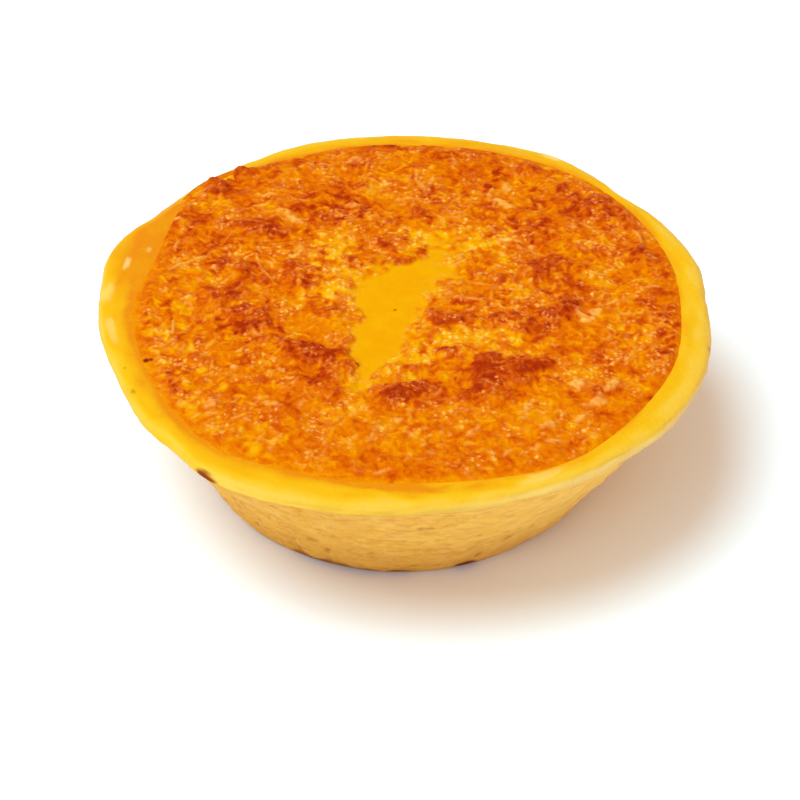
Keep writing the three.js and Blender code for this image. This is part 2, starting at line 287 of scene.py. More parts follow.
# How wide the smooth band between the crust and the rim is: SMOOTH_BAND and what the swells add.
SMOOTH_BAND = 0.35
BAND_SWELLS = [(212, 44, 0.75), (275, 30, 0.35)]

# Stains on the wall: (azimuth, height, half length, half height, how strong).
WALL_STAINS = [(-104.0, 22.2, 1.4, 0.5, 0.8), (-61.0, 20.4, 1.2, 0.5, 0.5), (-93.0, 21.8, 0.8, 0.3, 0.4)]

# Browned lumps at the very edge of the crust: (x, y, radius, height).
EDGE_LUMPS = [
    (-22.8, 30.2, 1.2, 0.8),
    (-26.0, 27.9, 1.0, 0.9),
]

# The studio light: what the white surroundings send to a level surface, and the lamps:
# (name, what it sends to a level surface, the way towards it, how many degrees wide it is).
AMBIENT = (0.7, 0.59, 0.5)
LAMPS = [
    ("key", (0.53, 0.78, 0.9), (-0.372, -0.165, 0.914), 36),
    ("fill", (0.04, 0.08, 0.12), (-0.5, -0.75, 0.5), 40),
]
LEVEL_LIGHT = [ambient + sum(lamp[1][i] for lamp in LAMPS) for i, ambient in enumerate(AMBIENT)]

# The top as a square map of heights

MAP_SIZE = 768
PITCH = 0.1
AXIS = (np.arange(MAP_SIZE) - (MAP_SIZE - 1) / 2) * PITCH
X, Y = np.meshgrid(AXIS, AXIS)


def smoothstep(value, low, high):
    t = np.clip((value - low) / (high - low), 0, 1)
    return t * t * (3 - 2 * t)


def lerp(a, b, t):
    return a + (b - a) * t


def swell(swells, angle):
    """The sum of the swells round this angle, in radians."""
    total = np.zeros_like(angle)
    for at, spread, by in swells:
        away = (np.degrees(angle) - at + 180) % 360 - 180
        total += by * np.exp(-((away / spread) ** 2))
    return total


def rim_radius(angle):
    return RIM_RADIUS + swell(RIM_SWELLS, angle)


def mouth_radius(angle):
    return MOUTH_RADIUS + swell(MOUTH_SWELLS, angle)


def crust_reach(angle):
    return mouth_radius(angle) + LEAST_OVERLAP + swell(OVERLAP_SWELLS, angle)


def noise_map(seed, shape, size, pitch):
    """A smooth random map of unit spread that wraps round, with blotches of the size (down, across)."""
    white = np.random.default_rng(seed).standard_normal(shape)
    down = np.fft.fftfreq(shape[0], pitch[0])[:, None] * size[0]
    across = np.fft.fftfreq(shape[1], pitch[1])[None, :] * size[1]
    blur = np.exp(-3.2 * (down**2 + across**2))
    field = np.fft.ifft2(np.fft.fft2(white) * blur).real
    return (field - field.mean()) / field.std()


def mottle(seed, size):
    """noise_map over the top."""
    return noise_map(seed, X.shape, (size, size), (PITCH, PITCH))


def blurred(field, size):
    down = np.fft.fftfreq(MAP_SIZE, PITCH)[:, None]
    across = np.fft.fftfreq(MAP_SIZE, PITCH)[None, :]
    blur = np.exp(-2 * (np.pi * size) ** 2 * (down**2 + across**2))
    return np.fft.ifft2(np.fft.fft2(field) * blur).real


def patch_distance():
    """How far each point of the map is outside the bare patch."""
    nearest = np.full(X.shape, np.inf)
    for (ax, ay, ar), (bx, by, br) in zip(BARE_PATCH, BARE_PATCH[1:]):
        run = (bx - ax) ** 2 + (by - ay) ** 2
        t = np.clip(((X - ax) * (bx - ax) + (Y - ay) * (by - ay)) / run, 0, 1)
        away = np.hypot(X - lerp(ax, bx, t), Y - lerp(ay, by, t)) - lerp(ar, br, t)
        nearest = np.minimum(nearest, away)
    return nearest


def turned(x, y, turn):
    """How far the map's points are from this one, along a line turned by so many degrees and aside of it."""
    c, s = math.cos(math.radians(turn)), math.sin(math.radians(turn))
    return (X - x) * c + (Y - y) * s, (Y - y) * c - (X - x) * s


def crag_maps():
    """The height of the mounds under the crags, and how brown they are. They fade out to the front."""
    mounds = np.zeros(X.shape)
    brown = np.zeros(X.shape)
    fray = 1 + 0.2 * mottle(3, 2.2) + 0.16 * mottle(4, 1.0) + 0.08 * mottle(16, 0.5)
    for x, y, long, wide, turn, high, brownness in CRAGS:
        along, aside = turned(x, y, turn)
        away = np.hypot(along / long, aside / wide) / np.maximum(fray, 0.3)
        front = smoothstep((y - Y) / wide, -0.6, 0.8)
        browned = 1 - smoothstep(away, lerp(0.8, 0.35, front), lerp(1.05, 1.3, front))
        mounds = np.maximum(mounds, high * (1 - smoothstep(away, 0.5, 1.1)))
        brown = np.maximum(brown, brownness * browned)
    return mounds, brown


def lay_strand(maps, ground, at, length, width, rise, lift, heading, bend, brown, pale_and_painted_light=0.0):
    """Lays one bent strand of cheese on the height map, and marks where it shows."""
    reach = length / 2 + width
    low = ((np.array(at) - reach - AXIS[0]) / PITCH).astype(int)
    high = ((np.array(at) + reach - AXIS[0]) / PITCH).astype(int) + 1
    if low.min() < 0 or high.max() >= MAP_SIZE:
        return
    window = (slice(low[1], high[1]), slice(low[0], high[0]))
    dx, dy = X[window] - at[0], Y[window] - at[1]
    c, s = math.cos(heading), math.sin(heading)
    along = (dx * c + dy * s) / (length / 2)
    aside = dy * c - dx * s - bend * (1 - along**2)
    half = width * np.sqrt(np.clip(1 - along**4, 0, 1))
    rounded = 1 - (aside / np.maximum(half, 1e-6)) ** 2
    top = ground[window] + lift + rise * np.sqrt(np.clip(rounded, 0, 1))
    shows = (rounded > 0) & (half > 0) & (top > maps["height"][window])
    for key, value in (("height", top), ("tone", brown), ("fleck", pale_and_painted_light)):
        maps[key][window] = np.where(shows, value, maps[key][window])


def nearest_cell(point):
    return tuple(((np.array(point[::-1]) - AXIS[0]) / PITCH).astype(int))


def lay_shreds(random, maps, ground, inward, cover, calm):
    """The common grated cheese, melted down."""
    for _ in range(SHREDS):
        at = random.uniform(-37, 37, 2)
        length, width = random.uniform(0.7, 2.6), random.uniform(0.13, 0.3)
        rise, lift = random.uniform(0.05, 0.18), random.uniform(-0.04, 0.14)
        heading, bend = random.uniform(0, math.pi), random.uniform(-0.4, 0.4)
        brown, pale_and_painted_light = random.normal(-0.02, 0.14), random.uniform(0, 1)
        cell = nearest_cell(at)
        if inward[cell] > SHREDS_INSIDE and cover[cell] > 0.6:
            pale_and_painted_light = 0.25 + 10 * (pale_and_painted_light - 0.95) if pale_and_painted_light > 0.95 else 0.0
            brown *= 1 - 0.5 * calm[cell]
            lay_strand(maps, ground, at, length, width, rise, lift, heading, bend, brown, pale_and_painted_light)


def pile_crags(random, maps, ground):
    """The crags' own piles of short browned strands."""
    for x, y, long, wide, turn, high, _ in CRAGS:
        turn = math.radians(turn)
        c, s = math.cos(turn), math.sin(turn)
        for _ in range(int(7 * long * wide)):
            out, round_ = math.sqrt(random.uniform(0, 1)), random.uniform(0, 2 * math.pi)
            u, v = long * out * math.cos(round_), wide * out * math.sin(round_)
            at = np.array([x + u * c - v * s, y + u * s + v * c])
            length, width = random.uniform(0.5, 1.6), random.uniform(0.18, 0.36)
            rise, lift = random.uniform(0.08, 0.22), random.uniform(0, 0.25) * high * (1.1 - out)
            heading = turn + random.normal(0, 0.9)
            bend, brown = random.uniform(-0.3, 0.3), random.normal(0.03, 0.08)
            lay_strand(maps, ground, at, length, width, rise, lift, heading, bend, brown)


def lay_strands(maps, ground):
    """The strands that stand out."""
    for x, y, length, width, heading, bend, pale_and_painted_light in STRANDS:
        heading = math.radians(heading)
        lay_strand(maps, ground, (x, y), length, width, 0.2, 0.3, heading, bend, -0.1, pale_and_painted_light)


def add_pale_marks(height, pale_and_painted_light):
    """Raises the ragged flecks and the lone lumps, and makes them pale."""
    for x, y, long, wide, heading, how_pale in FLECKS:
        along, aside = turned(x, y, heading)
        fleck = 1 - smoothstep(np.hypot(along / long, aside / wide) + 0.35 * mottle(23, 0.6), 0.3, 1.2)
        height = height + 0.15 * fleck
        pale_and_painted_light = np.maximum(pale_and_painted_light, how_pale * fleck)
    for x, y, size in PALE_LUMPS:
        lump = 1 - smoothstep(np.hypot(X - x, Y - y) / size + 0.25 * mottle(22, 0.6), 0.4, 1.2)
        height = height + 0.25 * lump
        pale_and_painted_light = np.maximum(pale_and_painted_light, 1.4 * lump)
    return height, pale_and_painted_light


def add_edge_lumps(surface, brown):
    """Raises the browned lumps at the very edge of the crust."""
    for x, y, size, high in EDGE_LUMPS:
        away = np.hypot(X - x, Y - y) / size + 0.2 * mottle(21, 0.7)
        lump = 1 - smoothstep(away, 0.2, 1.1)
        surface = surface + high * lump
        brown = brown + 0.3 * lump
    return surface, brown


def top_maps():
    """Maps of the top: its height, how brown, bare and dark it is, how pale it is with painted highlights,
    and its painted glints.
    """
    random = np.random.default_rng(7)
    radius, angle = np.hypot(X, Y), np.arctan2(Y, X)
    inward = crust_reach(angle) - radius
    band = SMOOTH_BAND + swell(BAND_SWELLS, angle)
    inner = smoothstep(inward / band, 0.9, 3.4)
    patch = patch_distance() + 0.6 * mottle(1, 2.6) + 0.45 * mottle(2, 1.0)
    cover = smoothstep(patch, -0.6, 1.2)
    # The cheese browned more evenly towards the front.
    calm = smoothstep(-Y, 16, 27)

    mounds, crag_brown = crag_maps()
    custard = HEIGHT + CUSTARD_DOME * (1 - (radius / MOUTH_RADIUS) ** 2)
    crust = CRUST_THICKNESS + 0.45 * mounds + 0.08 * mottle(5, 3.2) + 0.06 * mottle(6, 1.1)
    ground = custard - PATCH_DEPTH * (1 - cover) + cover * crust
    maps = {
        "height": ground + cover * 0.03 * mottle(14, 0.5),
        "tone": np.full(X.shape, 0.02),
        "fleck": np.zeros(X.shape),
    }
    lay_shreds(random, maps, ground, inward, cover, calm)
    pile_crags(random, maps, ground)
    lay_strands(maps, ground)
    height = blurred(maps["height"], 0.1)

    # The cheese browned in blotches and where it stands up. The gaps between the shreds get painted shade,
    # their ridges painted highlights.
    standing = height - blurred(height, 0.8)
    fine = height - blurred(height, 0.3)
    fine = fine / fine.std()
    ridge_highlights, gap_shade = smoothstep(fine, 0.3, 2.2), smoothstep(-fine, 0.3, 2.2)
    blotches = smoothstep(mottle(9, 2.0) + 0.6 * mottle(15, 1.0), 0.0, 1.8)
    brown = 0.45 + 0.04 * mottle(8, 9) + 0.04 * mottle(17, 0.8) + 0.06 * (radius / 37) ** 2 - 0.04 * calm
    brown += (1 - 0.6 * calm) * (0.24 * blotches + 0.25 * standing)
    brown += 0.35 * crag_brown + 0.9 * blurred(maps["tone"], 0.06)
    brown += (1 - 0.6 * calm) * (0.1 * gap_shade - 0.07 * ridge_highlights)
    brown -= 0.22 * (1 - smoothstep(patch, 0, 4.0))

    # Painted glints: small highlights painted into the colour where this mask is high; the mask also raises
    # the specular.
    glints = smoothstep(mottle(13, 2.6) + 0.5 * mottle(12, 1.2), -0.6, 1.6)
    glints = np.maximum(glints, crag_brown * smoothstep(mottle(18, 1.5), -0.8, 0.6))
    # Pale cheese, and painted highlights on the ridges where the cheese glints.
    pale_and_painted_light = np.maximum(blurred(maps["fleck"], 0.08), ridge_highlights * (0.3 - 0.15 * calm) * glints)
    ragged = 0.45 * mottle(10, 0.9)
    for x, y, size, by in PALE_PLACES:
        place = 1 - smoothstep(np.hypot(X - x, Y - y) / size + ragged, 0.2, 1.2)
        glints = np.maximum(glints, 1.3 * place)
        brown -= by * place
    for x, y, size, by in BROWNED_PLACES:
        brown += by * (1 - smoothstep(np.hypot(X - x, Y - y) / size + ragged, 0.2, 1.2))
    height, pale_and_painted_light = add_pale_marks(height, pale_and_painted_light)
    glints *= inner * smoothstep(patch, -1.5, 0.5)

    # Smooth orange custard shows between the crust and the rim, yellower where that band is wide.
    edge = inward + 0.3 * mottle(19, 1.6) + 0.15 * mottle(20, 0.6)
    front_edge = smoothstep(band, 0.4, 0.8) * (1 - smoothstep(edge, 0.3, 1.6))
    brown = lerp(0.48, brown, smoothstep(edge / band, 1.0, 2.4)) - 0.16 * front_edge
    lip = HEIGHT - 0.07 + 0.1 * smoothstep(inward, -0.3, 1.4)
    surface, brown = add_edge_lumps(lerp(lip, height, inner), brown)
    bare = 1 - smoothstep(patch, -0.9, 0.5)
    dark = np.zeros(X.shape)
    for x, y, size in SPECKS:
        dark = np.maximum(dark, 1 - smoothstep(np.hypot(X - x, Y - y) / size, 0.5, 1.2))
    return {"height": surface, "brown": brown, "bare": bare, "pale_and_painted_light": pale_and_painted_light, "glints": glints, "dark": dark}


def sample(field, x, y):
    """The map's value at each of these points, between its corners."""
    u = np.clip((x - AXIS[0]) / PITCH, 0, MAP_SIZE - 1.001)
    v = np.clip((y - AXIS[0]) / PITCH, 0, MAP_SIZE - 1.001)
    i, j = v.astype(int), u.astype(int)
    fi, fj = v - i, u - j
    lower = lerp(field[i, j], field[i, j + 1], fj)
    upper = lerp(field[i + 1, j], field[i + 1, j + 1], fj)
    return lerp(lower, upper, fi)


def make_piece(name, points, faces, material, attributes):
    """A smooth mesh from points in millimetres, with one number per point for each attribute."""
    mesh = bpy.data.meshes.new(name)
    mesh.from_pydata((np.asarray(points) * MM).tolist(), [], faces.tolist())
    for key, values in attributes.items():
        mesh.attributes.new(key, "FLOAT", "POINT").data.foreach_set("value", np.asarray(values, np.float32))
    mesh.shade_smooth()
    mesh.materials.append(material)
    piece = bpy.data.objects.new(name, mesh)
    bpy.context.scene.collection.objects.link(piece)
    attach(piece, "root")
    return piece


def leaning(radius, angle, z):
    """Points at this radius round the slightly leaning axis."""
    return np.stack([radius * np.cos(angle) + RIM_SHIFT * z / HEIGHT, radius * np.sin(angle), z], axis=-1)


# Materials


class Nodes:
    """Builds a material's node tree."""

    def __init__(self, name):
        self.material = bpy.data.materials.new(name)
        self.material.use_nodes = True
        self.tree = self.material.node_tree
        self.shader = self.tree.nodes["Principled BSDF"]

    def add(self, kind, inputs=None, **settings):
        node = self.tree.nodes.new(kind)
        for key, value in settings.items():
            setattr(node, key, value)
        for key, value in (inputs or {}).items():
            if isinstance(value, bpy.types.NodeSocket):
                self.tree.links.new(value, node.inputs[key])
            else:
                node.inputs[key].default_value = value
        return node

    def attribute(self, name):
        return self.add("ShaderNodeAttribute", attribute_name=name).outputs["Fac"]

    def place(self):
        return self.add("ShaderNodeTexCoord").outputs["Object"]

    def noise(self, scale, detail=3.0, roughness=0.55, stretch=None):
        vector = self.place()
        if stretch:
            vector = self.add("ShaderNodeMapping", {"Vector": vector, "Scale": stretch}).outputs[0]
        return self.add(
            "ShaderNodeTexNoise",
            {"Vector": vector, "Scale": scale, "Detail": detail, "Roughness": roughness},
        ).outputs["Fac"]

    def cells(self, scale, wobble):
        """Small uneven cells: how far it is to the middle of each, and each one's own random number."""
        shift = self.add("ShaderNodeTexNoise", {"Vector": self.place(), "Scale": scale}).outputs["Color"]
        shift = self.vector_math("SUBTRACT", shift, {1: (0.5, 0.5, 0.5)})
        shift = self.vector_math("SCALE", shift, {"Scale": wobble / scale})
        place = self.vector_math("ADD", self.place(), {1: shift})
        cells = self.add("ShaderNodeTexVoronoi", {"Vector": place, "Scale": scale})
        own = self.add("ShaderNodeSeparateColor", {"Color": cells.outputs["Color"]}).outputs[0]
        return cells.outputs["Distance"], own

    def math(self, operation, a, b=0.0, clamp=False):
        return self.add("ShaderNodeMath", {0: a, 1: b}, operation=operation, use_clamp=clamp).outputs[0]

    def vector_math(self, operation, vector, inputs):
        return self.add("ShaderNodeVectorMath", {0: vector, **inputs}, operation=operation).outputs[0]

    def step(self, value, low, high):
        return self.add(
            "ShaderNodeMapRange",
            {"Value": value, "From Min": low, "From Max": high},
            interpolation_type="SMOOTHSTEP",
        ).outputs[0]

    def around(self, value, noise, spread):
        """The value with the noise's swing about its middle added."""
        return self.math("ADD", value, self.math("MULTIPLY", self.math("SUBTRACT", noise, 0.5), spread))

    def ramp(self, factor, stops):
        node = self.add("ShaderNodeValToRGB", {"Fac": factor})
        elements = node.color_ramp.elements
        while len(elements) < len(stops):
            elements.new(0.5)
        for element, (position, colour) in zip(elements, stops):
            element.position = position
            element.color = (*shown(colour), 1)
        return node.outputs["Color"]

    def mix(self, factor, a, b):
        node = self.add("ShaderNodeMix", data_type="RGBA")
        for socket, value in ((node.inputs[0], factor), (node.inputs[6], a), (node.inputs[7], b)):
            if isinstance(value, bpy.types.NodeSocket):
                self.tree.links.new(value, socket)
            elif isinstance(value, (tuple, list)):
                socket.default_value = (*shown(value), 1)
            else:
                socket.default_value = value
        return node.outputs[2]

    def bump(self, height, strength, distance):
        return self.add(
            "ShaderNodeBump", {"Height": height, "Strength": strength, "Distance": distance}
        ).outputs["Normal"]

    def set(self, **sockets):
        for key, value in sockets.items():
            socket = self.shader.inputs[key.replace("_", " ")]
            if isinstance(value, bpy.types.NodeSocket):
                self.tree.links.new(value, socket)
            else:
                socket.default_value = value


def shown(colour):
    """The base colour that a level surface needs in the studio light to look like this display colour.

    In display colours 255 is white."""
    scaled = [c / 255 for c in colour]
    light = [c / 12.92 if c <= 0.04045 else ((c + 0.055) / 1.055) ** 2.4 for c in scaled]
    return tuple(c / level for c, level in zip(light, LEVEL_LIGHT))


def filling_material():
    n = Nodes("cheese_filling")
    soft = n.noise(420, 2)
    grain = n.noise(2000, 2)
    dome, crumb = n.cells(1000, 1.2)
    far, dot = n.cells(1500, 1.2)
    # The brown attribute also carries painted shade in the gaps between the shreds and painted highlights on
    # their ridges.
    brown = n.around(n.around(n.attribute("brown"), crumb, 0.22), grain, 0.3)
    crust = n.ramp(
        brown,
        [
            (0.0, (253, 186, 8)),
            (0.16, (251, 167, 2)),
            (0.32, (246, 147, 1)),
            (0.46, (239, 127, 1)),
            (0.6, (230, 108, 1)),
            (0.74, (214, 86, 2)),
            (0.87, (196, 66, 5)),
            (1.0, (174, 48, 7)),
        ],
    )
    custard = n.ramp(soft, [(0.3, (249, 171, 2)), (0.7, (252, 181, 4))])
    colour = n.mix(n.attribute("bare"), crust, custard)
    # Painted glints: dots of highlight colour where the glints mask is high. With the pale cheese and the
    # painted ridge highlights they are mixed towards the pale colour below.
    glints = n.math("MULTIPLY", n.step(far, 0.6, 0.15), n.step(dot, 0.45, 0.65))
    glints = n.math("MULTIPLY", glints, n.attribute("glints"))
    pale_and_painted_light = n.math("MAXIMUM", n.attribute("pale_and_painted_light"), glints)
    pale_and_highlight_colour = n.ramp(brown, [(0.2, (262, 214, 100)), (0.55, (262, 184, 84)), (0.95, (254, 138, 54))])
    colour = n.mix(n.math("MULTIPLY", pale_and_painted_light, n.math("MULTIPLY", grain, 1.7), clamp=True), colour, pale_and_highlight_colour)
    colour = n.mix(n.attribute("dark"), colour, (140, 30, 5))
    n.set(Base_Color=colour, Roughness=0.3, Specular_Tint=(1.0, 0.75, 0.4, 1))
    n.set(Specular_IOR_Level=n.math("ADD", n.math("MULTIPLY", glints, 0.28), 0.01))
    rough = n.math("SUBTRACT", 1.0, n.math("MULTIPLY", n.attribute("bare"), 0.8))
    n.set(Normal=n.bump(n.math("MULTIPLY", n.around(grain, dome, -0.8), rough), 0.5, 0.0002))
    return n.material


def pastry_material():
    n = Nodes("baked_pastry")
    mottled = n.noise(230, 4)
    fine = n.noise(1300, 3)
    grain = n.noise(700, 4, stretch=(0.6, 0.6, 1.6))
    _, crumb = n.cells(1500, 1.0)
    wall = n.ramp(mottled, [(0.25, (250, 186, 62)), (0.5, (264, 204, 74)), (0.75, (270, 216, 94))])
    # Painted shade: darker tan towards the bottom of the wall.
    wall = n.mix(n.math("MULTIPLY", n.attribute("low"), 0.5), wall, (236, 170, 54))
    wall = n.mix(n.math("MULTIPLY", n.step(grain, 0.56, 0.34), 0.8), wall, (238, 168, 50))
    wall = n.mix(n.math("MULTIPLY", crumb, 0.26), wall, (274, 236, 150))
    # Painted light: the front right of the wall lighter and creamier.
    wall = n.mix(n.attribute("pale_and_painted_light"), wall, (276, 236, 130))
    wall = n.mix(n.attribute("stain"), wall, (244, 176, 26))
    across = n.around(n.around(n.attribute("across"), mottled, 0.5), fine, 0.15)
    glaze = n.ramp(
        across,
        [
            (0.0, (255, 207, 62)),
            (0.2, (254, 202, 36)),
            (0.45, (253, 194, 10)),
            (0.7, (251, 181, 5)),
            (0.88, (247, 164, 2)),
            (1.0, (244, 148, 2)),
        ],
    )
    # Cream spots and painted highlights on the rim are mixed towards this colour.
    glaze = n.mix(n.math("MULTIPLY", n.attribute("cream_and_highlight"), 0.7), glaze, (270, 240, 150))
    colour = n.mix(n.attribute("glaze"), wall, glaze)
    # Burnt places, and painted shade in the wall's pits.
    colour = n.mix(n.attribute("burnt_and_pit_shade"), colour, (150, 66, 16))
    n.set(Base_Color=colour, Specular_IOR_Level=0.06)
    n.set(Roughness=n.math("SUBTRACT", 0.72, n.math("MULTIPLY", n.attribute("glaze"), 0.3)))
    n.set(Normal=n.bump(n.around(fine, grain, 0.8), 0.5, 0.0002))
    return n.material


# The filling

TOP_RINGS = 172


def ring_start(ring):
    return 1 + 3 * ring * (ring - 1) if ring else 0


def disc_faces():
    """Triangles of a disc whose ring k has 6k corners."""
    faces = []
    for ring in range(1, TOP_RINGS + 1):
        side, k = np.divmod(np.arange(6 * ring), ring)
        outer = ring_start(ring) + np.arange(6 * ring)
        outer_next = ring_start(ring) + (np.arange(6 * ring) + 1) % (6 * ring)
        if ring > 1:
            inner = ring_start(ring - 1) + (side * (ring - 1) + k) % (6 * (ring - 1))
            inner_next = ring_start(ring - 1) + (side * (ring - 1) + k + 1) % (6 * (ring - 1))
        else:
            inner = np.zeros(6, int)
            inner_next = inner
        faces.append(np.stack([outer, outer_next, inner], axis=1))
        between = k < ring - 1
        faces.append(np.stack([inner, outer_next, inner_next], axis=1)[between])
    return np.concatenate(faces)


def build_filling(material):
    maps = top_maps()
    x, y = [np.zeros(1)], [np.zeros(1)]
    for ring in range(1, TOP_RINGS + 1):
        angle = 2 * math.pi * np.arange(6 * ring) / (6 * ring)
        share = ring / TOP_RINGS
        radius = share * MOUTH_RADIUS + share**4 * (crust_reach(angle) - MOUTH_RADIUS)
        x.append(radius * np.cos(angle))
        y.append(radius * np.sin(angle))
    x, y = np.concatenate(x), np.concatenate(y)
    z = sample(maps["height"], x, y)
    points = [np.stack([x + RIM_SHIFT * z / HEIGHT, y, z], axis=1)]
    faces = [disc_faces()]
    around = 6 * TOP_RINGS
    angle = 2 * math.pi * np.arange(around) / around
    mouth = mouth_radius(angle)
    below = [
        (mouth - 0.4, HEIGHT - 1.2),
        (np.full(around, BASE_RADIUS + 1.4), FILLING_FLOOR),
    ]
    upper = ring_start(TOP_RINGS)
    count = len(x)
    here = np.arange(around)
    beside = (here + 1) % around
    for radius, level in below:
        points.append(leaning(radius, angle, np.full(around, level)))
        faces.append(np.stack([upper + here, count + here, count + beside], axis=1))
        faces.append(np.stack([upper + here, count + beside, upper + beside], axis=1))
        upper = count
        count += around
    points.append(leaning(np.zeros(1), np.zeros(1), np.full(1, FILLING_FLOOR)))
    faces.append(np.stack([upper + here, np.full(around, count), upper + beside], axis=1))
    points = np.concatenate(points)
    hidden = np.zeros(len(points) - len(x))
    attributes = {}
    for key in ("brown", "bare", "pale_and_painted_light", "glints", "dark"):
        attributes[key] = np.concatenate([np.clip(sample(maps[key], x, y), 0, 1), hidden])
    filling = make_piece("cheese_filling", points, np.concatenate(faces), material, attributes)
    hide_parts("filling")


# The pastry case

CASE_AROUND = 640
WALL_ROWS = 46
RIM_STEPS = 5

# Burnt and stained places: (azimuth, height, half length, half height, how dark).
BURNT = [
    (-126.3, HEIGHT - 1.25, 1.4, 0.4, 1.0),
    (-69.6, 0.5, 1.9, 0.6, 1.0),
    (-104.0, 0.4, 9.5, 0.7, 0.7),
    (14.5, HEIGHT - 0.9, 0.5, 0.3, 0.4),
    (-11.0, HEIGHT - 0.9, 0.5, 0.3, 0.5),
]


def catmull_rom(corners, steps):
    """A smooth row of points through the corners, each an array over the azimuths."""
    rows = []
    for i in range(1, len(corners) - 2):
        a, b, c, d = corners[i - 1 : i + 3]
        for t in np.arange(steps) / steps:
            curve = (2 * a - 5 * b + 4 * c - d) * t**2 + (3 * b - a - 3 * c + d) * t**3
            rows.append(0.5 * (2 * b + (c - a) * t + curve))
    rows.append(corners[-2])
    return rows


def case_section(angle, rim, mouth):
    """Rows round the case, each as radius and height: base, wall, rolled rim, lining."""
    lean = (WALL_TOP_RADIUS + WALL_SKEW * np.cos(angle) - BASE_RADIUS) / WALL_TOP

    def corner(radius, z):
        return np.stack([radius + 0 * angle, z + 0 * angle])

    def outside(z):
        return np.minimum(BASE_RADIUS + lean * z, rim - 0.2)

    def across_rim(share):
        return lerp(mouth, rim, share)

    base = [corner(0, 0), corner(12, 0), corner(20, 0), corner(23, 0), corner(BASE_RADIUS - 0.9, 0)]
    bend = [
        corner(BASE_RADIUS - 0.42, 0.06),
        corner(BASE_RADIUS, 0.3),
        corner(BASE_RADIUS + 0.25, 0.62),
    ]
    wall = [corner(outside(z), z) for z in np.linspace(0.95, WALL_TOP, WALL_ROWS)[:-1]]
    rolled = [
        wall[-1],
        corner(outside(WALL_TOP), WALL_TOP),
        corner(rim - 0.15, WALL_TOP + 0.5),
        corner(rim, HEIGHT - 1.0),
        corner(rim - 0.38, HEIGHT - 0.33),
        corner(across_rim(0.68), HEIGHT - 0.06),
        corner(across_rim(0.38), HEIGHT),
        corner(mouth + 0.2, HEIGHT - 0.02),
        corner(mouth - 0.6, HEIGHT - 0.08),
        corner(mouth - 1.1, HEIGHT - 0.5),
        corner(mouth - 1.7, HEIGHT - 3.5),
    ]
    lining = [corner(outside(z) - WALL, z) for z in (14, 5)]
    lining += [corner(outside(5) - WALL - 1.5, FLOOR), corner(0, FLOOR)]
    rows = np.stack(base + bend + wall + catmull_rom(rolled, RIM_STEPS) + lining)
    return rows, len(base), len(rows) - len(lining) - RIM_STEPS


